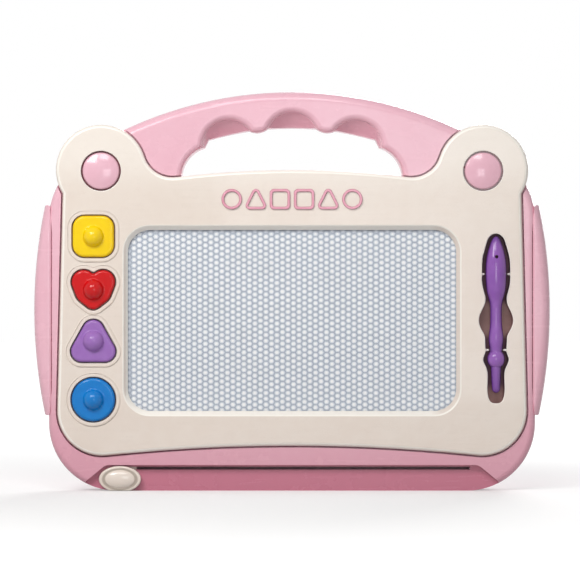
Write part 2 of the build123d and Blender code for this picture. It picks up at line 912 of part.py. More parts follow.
def side_grip(side):
    """One side grip: a long lobe let into the case, rounded along its inner and its outer side."""
    half_tall = (grip_top_height - grip_low_height) / 2
    swell = grip_bulge_x - grip_end_x
    arc_radius = (half_tall**2 + swell**2) / (2 * swell)
    inner_x = side * grip_inner_x
    bulge_x = side * grip_bulge_x
    with BuildPart() as made:
        with BuildSketch(Plane.XZ.offset(case_rear)):
            add(grip_outline(side))
        extrude(amount=case_face - case_rear)
        with BuildSketch(Plane.XY.offset(grip_low_height)):
            add(grip_section(inner_x, inner_x + 2 * (bulge_x - inner_x), grip_inner_rounding))
        extrude(amount=2 * half_tall, mode=Mode.INTERSECT)
        with BuildSketch(Plane.XY.offset(grip_middle_height)):
            add(grip_section(bulge_x - 3 * (bulge_x - inner_x), bulge_x, grip_outer_rounding))
        revolve(
            axis=Axis((bulge_x - side * arc_radius, 0, grip_middle_height), (0, 1, 0)),
            mode=Mode.INTERSECT,
        )
    return made.part


def stamp(kind, x, height):
    """One stamp: a plate with a round edge, a domed knob and a seat for its magnet sheet."""
    turning = Plane(origin=(x, 0, height), x_dir=(1, 0, 0), z_dir=(0, 0, -1))
    with BuildPart() as made:
        with BuildSketch(Plane.XZ.offset(stamp_back)):
            add(placed(stamp_outline(kind, 0), x, height))
        extrude(amount=stamp_face - stamp_back)
        fillet(made.faces().sort_by(Axis.Y)[0].edges(), stamp_edge)
        with BuildSketch(turning):
            with BuildLine():
                Line((0, stamp_face - stamp_edge), (knob_base_radius, stamp_face - stamp_edge))
                Line((knob_base_radius, stamp_face - stamp_edge), (knob_base_radius, stamp_face))
                TangentArc(
                    (knob_base_radius, stamp_face), (knob_radius, stamp_face + knob_neck), tangent=(-1, 0)
                )
                TangentArc((0, knob_top), (knob_radius, stamp_face + knob_neck), tangent=(1, 0))
                Line((0, knob_top), (0, stamp_face - stamp_edge))
            make_face()
        revolve(axis=Axis((x, 0, height), (0, -1, 0)))
        with BuildSketch(Plane.XZ.offset(stamp_back)):
            add(placed(stamp_outline(kind, socket_clearance - magnet_inset), x, height))
        extrude(amount=magnet_sheet, mode=Mode.SUBTRACT)
    return made.part


def stamp_magnet(kind, x, height):
    """The printing magnet in a stamp's underside, the stamp's own shape but smaller."""
    with BuildPart() as made:
        with BuildSketch(Plane.XZ.offset(stamp_back)):
            add(placed(stamp_outline(kind, -magnet_inset), x, height))
        extrude(amount=magnet_sheet)
    return made.part


def ear_cap(x):
    """A low glossy dome that shows through the hole in an ear, on a flange and a foot."""
    turning = Plane(origin=(x, 0, cap_height), x_dir=(1, 0, 0), z_dir=(0, 0, -1))
    flange_level = bezel_back - cap_flange_thickness
    with BuildPart() as made:
        with BuildSketch(turning):
            with BuildLine():
                Polyline(
                    (0, pocket_floor),
                    (cap_dome / 2, pocket_floor),
                    (cap_dome / 2, flange_level),
                    (cap_flange / 2, flange_level),
                    (cap_flange / 2, bezel_back),
                    (cap_dome / 2, bezel_back),
                    (cap_dome / 2, bezel_face - cap_edge),
                )
                TangentArc(
                    (0, bezel_face + cap_dome_rise), (cap_dome / 2, bezel_face - cap_edge), tangent=(1, 0)
                )
                Line((0, bezel_face + cap_dome_rise), (0, pocket_floor))
            make_face()
        revolve(axis=Axis((x, 0, cap_height), (0, -1, 0)))
        with BuildSketch(Plane.XZ.offset(pocket_floor)):
            with Locations((x, cap_height)):
                Circle(cap_dome / 2 - wall)
        extrude(amount=flange_level - pocket_floor, mode=Mode.SUBTRACT)
    return made.part


side_grip_left = side_grip(-1)
side_grip_right = side_grip(1)
ear_cap_left = ear_cap(-ear_x)
ear_cap_right = ear_cap(ear_x)

# Raised figures: rings, triangles and squares in a row above the window
with BuildPart() as header_figures:
    for index, kind in enumerate(figure_kinds):
        x = (index - (len(figure_kinds) - 1) / 2) * figure_pitch
        with BuildSketch(Plane.XZ.offset(bezel_face)):
            add(placed(figure_outline(kind), x, figure_height))
        extrude(amount=figure_stand)
    fillet(
        header_figures.faces().filter_by(Axis.Y).group_by(Axis.Y)[0].edges(),
        figure_edge,
    )

# Dark tray behind the bezel's pen cut-out, with two saddles for the pen
with BuildPart() as pen_tray:
    with BuildSketch(Plane.XZ.offset(tray_bottom - tray_floor)):
        add(placed(well_outline(tray_wall), pen_x, 0))
    extrude(amount=bezel_back - tray_bottom + tray_floor)
    with BuildSketch(Plane.XZ.offset(tray_bottom)):
        add(placed(well_outline(0), pen_x, 0))
    extrude(amount=bezel_back - tray_bottom, mode=Mode.SUBTRACT)
    for share, width in ((pen_widest_share, pen_width), (pen_swell_share, pen_swell_width)):
        height = pen_tip_height + pen_length * share
        with BuildSketch(Plane.XZ.offset(tray_bottom)):
            with Locations((pen_x, height)):
                Rectangle(width * saddle_width_share, saddle_thickness)
        extrude(amount=pen_axis - tray_bottom)
        with BuildSketch(Plane.XY.offset(height - saddle_thickness)):
            with Locations((pen_x, -pen_axis)):
                Circle(width / 2 + saddle_clearance)
        extrude(amount=2 * saddle_thickness, mode=Mode.SUBTRACT)

# The screen: clear front film, cell sheet, rear film, gasket and frame
with BuildPart() as screen_gasket:
    with BuildSketch(Plane.XZ.offset(film_front)):
        add(rounded_plate(screen_width, screen_height, screen_corner))
        add(
            rounded_plate(
                window_width + 2 * gasket_set, window_height + 2 * gasket_set, window_corner + gasket_set
            ),
            mode=Mode.SUBTRACT,
        )
    extrude(amount=gasket_thickness)

with BuildPart() as screen_front_film:
    with BuildSketch(Plane.XZ.offset(cell_front)):
        add(rounded_plate(screen_width, screen_height, screen_corner))
    extrude(amount=front_film)

with BuildPart() as screen_honeycomb:
    with BuildSketch(Plane.XZ.offset(cell_back)):
        add(rounded_plate(screen_width, screen_height, screen_corner))
    extrude(amount=cell_layer)

with BuildPart() as screen_rear_film:
    with BuildSketch(Plane.XZ.offset(film_back)):
        add(rounded_plate(screen_width, screen_height, screen_corner))
    extrude(amount=rear_film)

with BuildPart() as screen_frame:
    with BuildSketch(Plane.XZ.offset(pocket_floor)):
        with Locations((0, window_centre_height)):
            Rectangle(2 * (sweep_half + frame_side), sweep_height + 2 * frame_rail)
            Rectangle(2 * sweep_half, sweep_height, mode=Mode.SUBTRACT)
    extrude(amount=film_back - pocket_floor)

# The eraser: a bar with a magnet behind the screen, its carriage, two guide rails and the knob
with BuildPart() as eraser_bar:
    with BuildSketch(Plane.XZ.offset(bar_back)):
        with Locations((-slider_park_x, (bar_low_height + bar_top_height) / 2)):
            Rectangle(bar_width, bar_top_height - bar_low_height)
    extrude(amount=bar_thickness)
    with BuildSketch(Plane.XZ.offset(bar_face)):
        with Locations((-slider_park_x, window_centre_height)):
            Rectangle(rib_width, wiper_height)
    extrude(amount=magnet_back - bar_face)

with BuildPart() as eraser_magnet:
    with BuildSketch(Plane.XZ.offset(magnet_back)):
        with Locations((-slider_park_x, window_centre_height)):
            Rectangle(rib_width, wiper_height)
    extrude(amount=magnet_thickness)

with BuildPart() as slider_carriage:
    with BuildSketch(Plane.XZ.offset(carriage_back)):
        with Locations((-slider_park_x, carriage_low_height + carriage_height / 2)):
            Rectangle(carriage_width, carriage_height)
    extrude(amount=carriage_face - carriage_back)
    with BuildSketch(Plane.XZ.offset(bar_back - socket_clearance)):
        with Locations((-slider_park_x, bar_low_height + carriage_height / 2 - socket_clearance)):
            Rectangle(bar_width + 2 * socket_clearance, carriage_height)
    extrude(amount=carriage_face - bar_back + socket_clearance, mode=Mode.SUBTRACT)
    with BuildSketch(Plane.XZ.offset(carriage_back)):
        with Locations((-slider_park_x, neck_height)):
            Rectangle(neck_width, neck_tall)
    extrude(amount=slider_back + socket_depth - carriage_back)

with BuildPart() as slider_knob:
    with BuildSketch(Plane.XZ.offset(slider_back)):
        add(placed(slider_outline(0), -slider_park_x, slider_height))
    extrude(amount=slider_rim_level - slider_back)
    fillet(slider_knob.faces().sort_by(Axis.Y)[0].edges(), slider_edge)
    add(slider_dome().moved(Location((-slider_park_x, slider_edge - slider_rim_level, slider_height))))
    with BuildSketch(Plane.XZ.offset(slider_back)):
        with Locations((-slider_park_x, neck_height)):
            Rectangle(neck_width + 2 * socket_clearance, neck_tall + 2 * socket_clearance)
    extrude(amount=socket_depth, mode=Mode.SUBTRACT)


def guide_rail(plate_low, plate_high, leg_low, back_level):
    """A strip behind the pocket floor that keeps one end of the eraser running straight."""
    with BuildPart() as made:
        with BuildSketch(Plane.XZ.offset(back_level - rail_thickness)):
            with Locations((0, (plate_low + plate_high) / 2)):
                Rectangle(rail_width, plate_high - plate_low)
        extrude(amount=rail_thickness)
        with BuildSketch(Plane.XZ.offset(back_level - rail_thickness)):
            with Locations((0, leg_low + rail_side / 2)):
                Rectangle(rail_width, rail_side)
        extrude(amount=pocket_back - back_level + rail_thickness)
    return made.part


guide_rail_top = guide_rail(
    bar_top_height - rail_reach,
    bar_top_height + rail_gap + rail_side,
    bar_top_height + rail_gap,
    bar_back - rail_gap,
)
guide_rail_bottom = guide_rail(
    carriage_low_height - rail_gap - rail_side,
    carriage_low_height + rail_reach,
    carriage_low_height - rail_gap - rail_side,
    carriage_back - rail_gap,
)


def pen_place(share, width):
    """A point of the pen's half outline: a share of its length up from the tip, and a width there."""
    return (width / 2, pen_tip_height + pen_length * share)


# The pen: a turned handle with a neck, a slim stem, a ball collar and a tapered tip
pen_plane = Plane(origin=(pen_x, -pen_axis, 0), x_dir=(1, 0, 0), z_dir=(0, -1, 0))
pen_line = Axis((pen_x, -pen_axis, 0), (0, 0, 1))
split_height = pen_tip_height + pen_length * pen_split_share
head_stations = [
    pen_place(height_share, pen_width * width_share)
    for height_share, width_share in zip(pen_head_height_shares, pen_head_width_shares)
]
neck_stations = [
    pen_place(height_share, pen_width * width_share)
    for height_share, width_share in zip(pen_neck_height_shares, pen_neck_width_shares)
]
magnet_low_height = pen_tip_height + pen_magnet_gap
magnet_high_height = magnet_low_height + pen_magnet_length

with BuildPart() as pen_body:
    with BuildSketch(pen_plane):
        with BuildLine():
            Spline(
                (0, pen_top_height),
                *head_stations,
                pen_place(pen_widest_share, pen_width),
                *neck_stations,
                pen_place(pen_swell_share, pen_swell_width),
                pen_place(pen_stem_share, pen_stem_width),
                tangents=((1, 0), (0, -1)),
                tangent_scalars=(1, 1),
            )
            ThreePointArc(
                pen_place(pen_stem_share, pen_stem_width),
                pen_place(pen_collar_share, pen_collar_width),
                pen_place(pen_rod_share, pen_rod_width),
            )
            Line(pen_place(pen_rod_share, pen_rod_width), (pen_rod_width / 2, split_height))
            Line((pen_rod_width / 2, split_height), (0, split_height))
            Line((0, split_height), (0, pen_top_height))
        make_face()
    revolve(axis=pen_line)
    with BuildSketch(Plane.XY.offset(magnet_high_height)):
        with Locations((pen_x, -pen_axis)):
            Circle(pen_magnet_width / 2)
    extrude(amount=split_height - magnet_high_height)
    with BuildSketch(Plane.XZ.offset(pen_axis - pen_width)):
        with Locations((pen_x, pen_tip_height + pen_length * pen_hole_share)):
            Circle(pen_hole / 2)
    extrude(amount=2 * pen_width, mode=Mode.SUBTRACT)

with BuildPart() as pen_tip:
    with BuildSketch(pen_plane):
        with BuildLine():
            Line((0, split_height), (pen_rod_width / 2, split_height))
            Line((pen_rod_width / 2, split_height), pen_place(pen_nose_share, pen_nose_width))
            TangentArc((0, pen_tip_height), pen_place(pen_nose_share, pen_nose_width), tangent=(1, 0))
            Line((0, pen_tip_height), (0, split_height))
        make_face()
    revolve(axis=pen_line)
    with BuildSketch(Plane.XY.offset(magnet_low_height)):
        with Locations((pen_x, -pen_axis)):
            Circle(pen_magnet_width / 2 + socket_clearance)
    extrude(amount=split_height - magnet_low_height, mode=Mode.SUBTRACT)

with BuildPart() as pen_magnet:
    with BuildSketch(Plane.XY.offset(magnet_low_height)):
        with Locations((pen_x, -pen_axis)):
            Circle(pen_magnet_width / 2)
    extrude(amount=pen_magnet_length)


def screws(places, seat_level, head, head_thickness, diameter, length):
    """Pan head screws whose heads face the rear, each with a cross recess."""
    with BuildPart() as made:
        with BuildSketch(Plane.XZ.offset(seat_level - head_thickness)):
            with Locations(*places):
                Circle(head / 2)
        extrude(amount=head_thickness)
        fillet(made.faces().sort_by(Axis.Y).group_by(Axis.Y)[-1].edges(), head_thickness / 2)
        with BuildSketch(Plane.XZ.offset(seat_level)):
            with Locations(*places):
                Circle(diameter / 2)
        extrude(amount=length)
        with BuildSketch(Plane.XZ.offset(seat_level - head_thickness)):
            with Locations(*places):
                Rectangle(head * screw_recess_share, screw_slot)
                Rectangle(screw_slot, head * screw_recess_share)
        extrude(amount=head_thickness / 2, mode=Mode.SUBTRACT)
    return made.part


case_screws = screws(
    case_screw_places,
    case_rear + screw_well_depth,
    screw_head,
    screw_head_thickness,
    screw_diameter,
    screw_length,
)
bezel_screws = screws(
    bezel_screw_places,
    pocket_back,
    bezel_screw_head,
    bezel_screw_head_thickness,
    bezel_screw_diameter,
    bezel_screw_length,
)

pieces = {
    "front_bezel": front_bezel.part,
    "case_front": case_front.part,
    "case_back": case_back.part,
    "side_grip_left": side_grip_left,
    "side_grip_right": side_grip_right,
    "ear_cap_left": ear_cap_left,
    "ear_cap_right": ear_cap_right,
    "header_figures": header_figures.part,
    "pen_tray": pen_tray.part,
    "screen_gasket": screen_gasket.part,
    "screen_front_film": screen_front_film.part,
    "screen_honeycomb": screen_honeycomb.part,
    "screen_rear_film": screen_rear_film.part,
    "screen_frame": screen_frame.part,
    "guide_rail_top": guide_rail_top,
    "guide_rail_bottom": guide_rail_bottom,
    "eraser_bar": eraser_bar.part,
    "eraser_magnet": eraser_magnet.part,
    "slider_carriage": slider_carriage.part,
    "slider_knob": slider_knob.part,
    "pen_body": pen_body.part,
    "pen_tip": pen_tip.part,
    "pen_magnet": pen_magnet.part,
    "case_screws": case_screws,
    "bezel_screws": bezel_screws,
}
for index, kind in enumerate(stamp_kinds):
    pieces["stamp_" + kind] = stamp(kind, -stamp_x, stamp_height(index))
    pieces["stamp_magnet_" + kind] = stamp_magnet(kind, -stamp_x, stamp_height(index))

os.makedirs("parts", exist_ok=True)
for name, piece in pieces.items():
    piece.label = name
    export_step(piece, "parts/" + name + ".step")
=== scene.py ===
# %% [markdown]
# A magnetic drawing board, dressed in Blender.
#
# The board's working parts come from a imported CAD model: shells, screen layers, eraser, pen and stamps.
# This file gives each of them the surface that the real one has, and models by hand what the CAD leaves
# plain. Everything is in metres, X to the right, Z up, and the board's face looks along -Y.

# %% Load the frame
import json
from math import radians, tan

import bpy
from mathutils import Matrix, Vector

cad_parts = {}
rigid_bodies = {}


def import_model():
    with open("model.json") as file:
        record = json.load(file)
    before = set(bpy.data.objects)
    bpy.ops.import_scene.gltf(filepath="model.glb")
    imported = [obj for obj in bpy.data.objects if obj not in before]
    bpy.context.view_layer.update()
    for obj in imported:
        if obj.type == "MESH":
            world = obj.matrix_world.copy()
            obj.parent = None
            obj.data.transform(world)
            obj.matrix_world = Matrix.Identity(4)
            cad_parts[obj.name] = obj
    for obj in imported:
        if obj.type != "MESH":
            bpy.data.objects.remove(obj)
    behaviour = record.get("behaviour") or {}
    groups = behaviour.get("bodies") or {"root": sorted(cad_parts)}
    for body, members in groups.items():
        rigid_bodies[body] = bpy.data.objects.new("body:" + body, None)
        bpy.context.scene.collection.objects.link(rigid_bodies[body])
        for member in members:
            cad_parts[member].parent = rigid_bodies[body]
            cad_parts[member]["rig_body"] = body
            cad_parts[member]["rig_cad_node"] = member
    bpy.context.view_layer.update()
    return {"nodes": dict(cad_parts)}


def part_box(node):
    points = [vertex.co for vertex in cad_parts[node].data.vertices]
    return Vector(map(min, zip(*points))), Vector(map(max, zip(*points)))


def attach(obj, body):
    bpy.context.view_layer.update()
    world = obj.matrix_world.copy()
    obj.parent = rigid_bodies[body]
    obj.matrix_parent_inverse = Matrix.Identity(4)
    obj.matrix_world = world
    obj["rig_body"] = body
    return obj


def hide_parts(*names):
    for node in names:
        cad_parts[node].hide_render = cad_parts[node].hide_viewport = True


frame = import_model()
nodes = frame["nodes"]
mm = 0.001

# %% [markdown]
# The camera first. A product photograph of a flat thing is taken from far away with a long lens, so that
# its sides don't show. The lens and the width of what the picture shows give the camera's distance: that
# width stands to the distance as the sensor's width stands to the lens. The camera is level with the
# middle of the picture. The bezel's face lies a little behind the rims of the stamps' wells.

# %% Camera
picture_width = 425.5 * mm
picture_x = -1.5 * mm
picture_height = 147.8 * mm
lens = 180.0
stamp_rim_stand = 0.5 * mm
bezel_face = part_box("front_bezel")[0].y + stamp_rim_stand

bpy.ops.object.camera_add()
camera = bpy.context.active_object
camera.name = "camera"
camera.data.lens = lens
distance = picture_width * lens / camera.data.sensor_width
camera.location = (picture_x, bezel_face - distance, picture_height)
camera.rotation_euler = (radians(90), 0, 0)
bpy.context.scene.camera = camera
bpy.context.scene.view_settings.view_transform = "Standard"
print("the camera stands", round(distance, 3), "m in front of the bezel")

# %% [markdown]
# Selecting in a script. An operator works on whatever is selected, so every step starts by selecting
# exactly one object.


# %% Selecting
def only(piece):
    """Selects one object, makes it active and leaves edit mode."""
    if bpy.context.mode != "OBJECT":
        bpy.ops.object.mode_set(mode="OBJECT")
    bpy.ops.object.select_all(action="DESELECT")
    piece.select_set(True)
    bpy.context.view_layer.objects.active = piece


def apply_modifier(piece, kind, **settings):
    """Adds one modifier, sets it and applies it."""
    only(piece)
    bpy.ops.object.modifier_add(type=kind)
    modifier = piece.modifiers[-1]
    for name, value in settings.items():
        setattr(modifier, name, value)
    bpy.ops.object.modifier_apply(modifier=modifier.name)


# %% [markdown]
# Writing materials as sums. A material is a tree of nodes, and a tree is hard to read. The two small
# classes below make it look like arithmetic: a Reading is a number that varies over the surface, and adding
# or multiplying two of them adds a Math node. Every other node comes from one method of Finish, which takes
# the node's type, its settings and the values or links of its sockets.


# %% Arithmetic on surfaces
class Reading:
    """A number, colour or vector that varies over a surface; arithmetic on it adds Math nodes."""

    def __init__(self, finish, socket):
        self.finish = finish
        self.socket = socket

    def math(self, operation, first, second):
        return self.finish.add("ShaderNodeMath", {"operation": operation}, {0: first, 1: second})

    def __add__(self, other):
        return self.math("ADD", self, other)

    def __radd__(self, other):
        return self.math("ADD", other, self)

    def __sub__(self, other):
        return self.math("SUBTRACT", self, other)

    def __rsub__(self, other):
        return self.math("SUBTRACT", other, self)

    def __mul__(self, other):
        return self.math("MULTIPLY", self, other)

    def __rmul__(self, other):
        return self.math("MULTIPLY", other, self)

    def __pow__(self, other):
        return self.math("POWER", self, other)

    def between(self, low, high):
        """0 below low, 1 above high and smooth in between."""
        return self.finish.add(
            "ShaderNodeMapRange",
            {"interpolation_type": "SMOOTHSTEP"},
            {"Value": self, "From Min": low, "From Max": high},
        )


class Finish:
    """A material, or the world, being written. Its method add makes a node and joins its sockets."""

    def __init__(self, owner, shader="Principled BSDF"):
        owner.use_nodes = True
        self.owner = owner
        self.tree = owner.node_tree
        self.shader = self.tree.nodes[shader]

    def add(self, kind, settings=None, inputs=None, output=0):
        made = self.tree.nodes.new(kind)
        for name, value in (settings or {}).items():
            if name == "stops":
                self.set_stops(made.color_ramp, value)
            else:
                setattr(made, name, value)
        for name, value in (inputs or {}).items():
            self.join(made.inputs[name], value)
        return Reading(self, made.outputs[output])

    def set_stops(self, ramp, stops):
        """Gives a colour ramp its stops, each a place and a colour."""
        while len(ramp.elements) < len(stops):
            ramp.elements.new(1)
        for element, (place, shade) in zip(ramp.elements, stops):
            element.position = place
            element.color = shade

    def join(self, socket, value):
        if isinstance(value, Reading):
            self.tree.links.new(value.socket, socket)
        else:
            socket.default_value = value

    def set(self, **values):
        """Sets or joins sockets of the main shader; an underscore in a name stands for a space."""
        for name, value in values.items():
            self.join(self.shader.inputs[name.replace("_", " ")], value)

    def place(self, stretch=(1, 1, 1)):
        """The place on the piece, in metres, stretched along its axes if wanted."""
        place = self.add("ShaderNodeTexCoord", output="Object")
        if stretch == (1, 1, 1):
            return place
        return self.add("ShaderNodeMapping", {}, {"Vector": place, "Scale": stretch})

    def axes(self):
        """The place on the piece as three numbers."""
        split = self.add("ShaderNodeSeparateXYZ", {}, {0: self.place()})
        return [Reading(self, socket) for socket in split.socket.node.outputs]

    def depth(self):
        """How far the surface lies behind the bezel's face, in metres; less than 0 in front of it."""
        return self.axes()[1] - bezel_face

    def noise(self, spots, detail=2, roughness=0.5, place=None):
        """Smooth random values from 0 to 1, with a number of spots to the metre."""
        inputs = {"Vector": place or self.place(), "Scale": spots, "Detail": detail, "Roughness": roughness}
        return self.add("ShaderNodeTexNoise", {}, inputs)

    def blend(self, share, first, second):
        """A colour between two others."""
        settings = {"data_type": "RGBA"}
        return self.add("ShaderNodeMix", settings, {0: share, 6: first, 7: second}, output=2)

    def seen(self):
        """1 where the camera looks, also by way of a mirror or through glass, and 0 for falling light."""
        straight = self.add("ShaderNodeLightPath", output="Is Camera Ray")
        mirrored = self.add("ShaderNodeLightPath", output="Is Glossy Ray")
        through = self.add("ShaderNodeLightPath", output="Is Transmission Ray")
        return straight + mirrored + through

    def glow(self, glow, share, output):
        """Mixes in a share of a glow where the camera looks."""
        plain = Reading(self, self.shader.outputs[0])
        mixed = self.add("ShaderNodeMixShader", {}, {0: self.seen() * share, 1: plain, 2: glow})
        self.join(self.tree.nodes[output].inputs["Surface"], mixed)


# %% [markdown]
# The light. The main lamp stands near the board at the upper left, so the light falls off towards the lower
# right as it does in the photograph, and the edges that face it catch bright lines. A lamp above the front
# draws the line along the handle, a weak one fills from low down, and one lights the back.
#
# The floor and the world look white, but they light the board only a little: where the camera looks they
# glow and the floor is white, and for the light that falls the floor is grey and the world dim. That keeps
# the lower edges dark. Near the board the floor glows less, so that the board's shadow stays on it.

# %% Floor, lamps and world
floor_size = 12.0
floor_grey = (0.5, 0.5, 0.5, 1)
floor_white = (0.95, 0.95, 0.95, 1)
floor_glow = 0.92
glow_strength = 1.17
shadow_share = 0.64
shadow_reach = (0.2, 1.1)
world_strength = 0.24

bpy.ops.mesh.primitive_grid_add(x_subdivisions=4, y_subdivisions=4, size=floor_size, location=(0, 0, 0))
floor = bpy.context.active_object
floor.name = "floor"
ground = Finish(bpy.data.materials.new("pale_floor"))
ground.set(Base_Color=ground.blend(ground.seen(), floor_grey, floor_white), Roughness=0.9)
floor_light = ground.add("ShaderNodeEmission", {}, {"Color": (1, 1, 1, 1), "Strength": glow_strength})
x, y, z = ground.axes()
near = 1 - ((x * x + y * y) ** 0.5).between(*shadow_reach)
ground.glow(floor_light, floor_glow - near * shadow_share, "Material Output")
floor.data.materials.append(ground.owner)

world = bpy.data.worlds.new("white_studio")
bpy.context.scene.world = world
sky = Finish(world, "Background")
sky.set(Color=(1, 1, 1, 1), Strength=world_strength)
sky_light = sky.add("ShaderNodeBackground", {}, {"Color": (1, 1, 1, 1), "Strength": 1})
sky.glow(sky_light, 1, "World Output")


def lamp(name, place, width, power, tint):
    """A square soft box at a place, pointed at the middle of the board."""
    bpy.ops.object.light_add(type="AREA", location=place)
    made = bpy.context.active_object
    made.name = name
    made.data.shape = "SQUARE"
    made.data.size = width
    made.data.energy = power
    made.data.color = tint
    towards = Vector((0, 0, picture_height)) - Vector(place)
    made.rotation_euler = towards.to_track_quat("-Z", "Y").to_euler()


warm = (1, 0.985, 0.965)
neutral = (1, 1, 1)
cool = (0.97, 0.985, 1)
lamp("main_light", place=(-0.5, -0.75, 0.75), width=0.4, power=5.2, tint=warm)
lamp("top_light", place=(-0.05, -1.0, 1.0), width=0.4, power=3.6, tint=neutral)
lamp("fill_light", place=(0.1, -1.3, 0.2), width=0.36, power=1.7, tint=cool)
lamp("rear_light", place=(0.5, 1.5, 0.75), width=0.9, power=20.0, tint=neutral)

# %% [markdown]
# Glossy moulded plastic. Toy shells are moulded in coloured ABS: the colour goes all the way through, so it
# hardly varies, and the gloss shows the mould's polish. A few weak noises, each at its own scale, keep it
# from looking like paint on a computer: a faint cloudiness of the colour, a slight waviness of the surface
# (orange peel) with a fine grain on it, patches where small fingers have dulled the gloss, and flow marks
# that run across the piece.


# %% Moulded plastic
cloud_spots = 17
fine_cloud_spots = 140
peel_spots = 260
peel_height = 0.006 * mm
grain_spots = 2600
grain_height = 0.0009 * mm
touch_spots = 42
flow_spots = 28
flow_stretch = (1, 1, 9)


def colour(red, green, blue):
    """A colour picked on a screen, 0 to 255, turned into the linear values that a shader takes."""
    return tuple(
        (share / 12.92 if share <= 0.04045 else ((share + 0.055) / 1.055) ** 2.4)
        for share in (red / 255, green / 255, blue / 255)
    ) + (1,)


def moulded(name, light, deep, gloss=0.24, coat=0.2, shine=0.4, mask=None, painted_light_and_shade=None):
    """Glossy plastic between a light and a deep shade, with painted light and shade where a mask says so.
    """
    made = Finish(bpy.data.materials.new(name))
    cloud = made.noise(cloud_spots, detail=3)
    fine_cloud = made.noise(fine_cloud_spots, detail=2)
    shade = (cloud * 0.7 + fine_cloud * 0.3).between(0.3, 0.7)
    wave = made.noise(peel_spots, detail=1)
    grain = made.noise(grain_spots, detail=2)
    touched = made.noise(touch_spots, detail=4, roughness=0.62).between(0.5, 0.74)
    flow = made.noise(flow_spots, detail=3, place=made.place(flow_stretch)).between(0.45, 0.75)
    tone = made.blend(shade, light, deep)
    if mask:
        tone = made.blend(mask(made), tone, painted_light_and_shade)
    made.set(Base_Color=tone, Roughness=gloss + touched * 0.08 + flow * 0.03 + grain * 0.03)
    made.set(Coat_Weight=coat, Coat_Roughness=0.05, IOR=1.5, Specular_IOR_Level=shine)
    height = wave * peel_height + grain * grain_height
    made.set(Normal=made.add("ShaderNodeBump", {}, {"Height": height, "Strength": 1.0, "Distance": 1.0}))
    return made.owner


# %% [markdown]
# Painted light and shade. The pink gets painted shade in its hollows and towards the base, a painted shadow
# makes a dark ring round each ear's dome, painted highlights make the bezel's edges nearly white, and the
# stamps and the pen get painted shade where they turn away. Such places could be painted by hand on a
# texture, but they follow the form, so each is a mask instead: a number from 0 to 1 worked out from the
# place on the piece, mostly from how far it lies behind the bezel's face. The pairs of values say where a
# mask starts to change and where it ends.

# %% Masks of painted shade on the case and its grips
pocket_depth = (4.5 * mm, 8.5 * mm)
shell_joint_depth = (9.5 * mm, 11 * mm)
groove_height = (225 * mm, 235 * mm)
groove_extra_depth = 6 * mm
arch_radius = 289 * mm
arch_height = (278.5 * mm, 282.5 * mm)
pocket_half = 171 * mm
case_half = 175 * mm
low_height = (0, 140 * mm)
low_share = 0.45
hollow_share = 0.9
groove_relief = 0.7
grip_share = 0.2


def case_painted_shade(made):
    """Painted shade: strong in the pocket, the slider's recess and the finger grooves, weak towards the
    base.
    """
    x, y, z = made.axes()
    depth = made.depth()
    grooves = z.between(*groove_height)
    behind = depth.between(*pocket_depth)
    not_the_back = 1 - (depth - grooves * groove_extra_depth).between(*shell_joint_depth)
    under_the_arch = 1 - (z + x * x * (1 / (2 * arch_radius))).between(*arch_height)
    off_the_sides = 1 - (x * x).between(pocket_half**2, case_half**2)
    hollow = behind * not_the_back * under_the_arch * off_the_sides
    low = 1 - z.between(*low_height)
    return low * low_share + hollow * (hollow_share - grooves * groove_relief)


def low_painted_shade(made):
    """Painted shade that rises towards the base, where the pink is deeper."""
    z = made.axes()[2]
    return (1 - z.between(*low_height)) * grip_share


# %% Masks of painted shade and highlights on the bezel and what it carries
flange_depth = (0.9 * mm, 1.7 * mm)
figure_side_depth = (-1.38 * mm, -1.15 * mm)
edge_start_depth = (0.01 * mm, 0.12 * mm)
edge_end_depth = (0.7 * mm, 0.9 * mm)
slope_end_depth = (4.0 * mm, 4.4 * mm)
slope_left = (-123 * mm, -121 * mm)
slope_right = (100 * mm, 112 * mm)
ear_height = (212 * mm, 250 * mm)
ear_share = 0.45


def flange_painted_shadow(made):
    """Painted shadow: 1 on the flange behind an ear's dome, which shows as a dark ring, 0 on the dome."""
    return made.depth().between(*flange_depth)


def figure_painted_shade(made):
    """Painted shade: 0 on top of the raised figures, 1 on their rounded edges and sides."""
    return made.depth().between(*figure_side_depth)


def bezel_painted_highlights(made):
    """Painted highlight: 1 on the bezel's rounded edges and three window slopes, less on the ears."""
    x, y, z = made.axes()
    depth = made.depth()
    behind_the_face = depth.between(*edge_start_depth)
    edge = 1 - depth.between(*edge_end_depth)
    slope = (1 - depth.between(*slope_end_depth)) * x.between(*slope_left) * (1 - x.between(*slope_right))
    edge_or_slope = 1 - (1 - edge) * (1 - slope)
    ears = z.between(*ear_height) * ear_share
    return 1 - (1 - behind_the_face * edge_or_slope) * (1 - ears)


# %% Masks of painted shade on the pen, the stamps and the knob
pen_low, pen_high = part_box("pen_body")
pen_middle = (pen_low.y + pen_high.y) / 2
pen_turn = (pen_middle - 4.6 * mm, pen_middle - 1.6 * mm)
stamp_edge_depth = (-1.4 * mm, 0.4 * mm)
stamp_edge_share = 0.8
knob_low, knob_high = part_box("slider_knob")
knob_width = knob_high.x - knob_low.x
knob_tall = 19.2 * mm
knob_groove_inside = (0.66, 0.74)
knob_groove_outside = (0.80, 0.90)
knob_groove_share = 0.85


def pen_painted_shade(made):
    """Painted shade: 0 on the front of the pen, 1 where it turns away at its sides and on its back."""
    y = made.axes()[1]
    return y.between(*pen_turn)


def stamp_painted_shade(made):
    """Painted shade: 0 on a stamp's face, rising over its rounded edge to its side."""
    return made.depth().between(*stamp_edge_depth) * stamp_edge_share


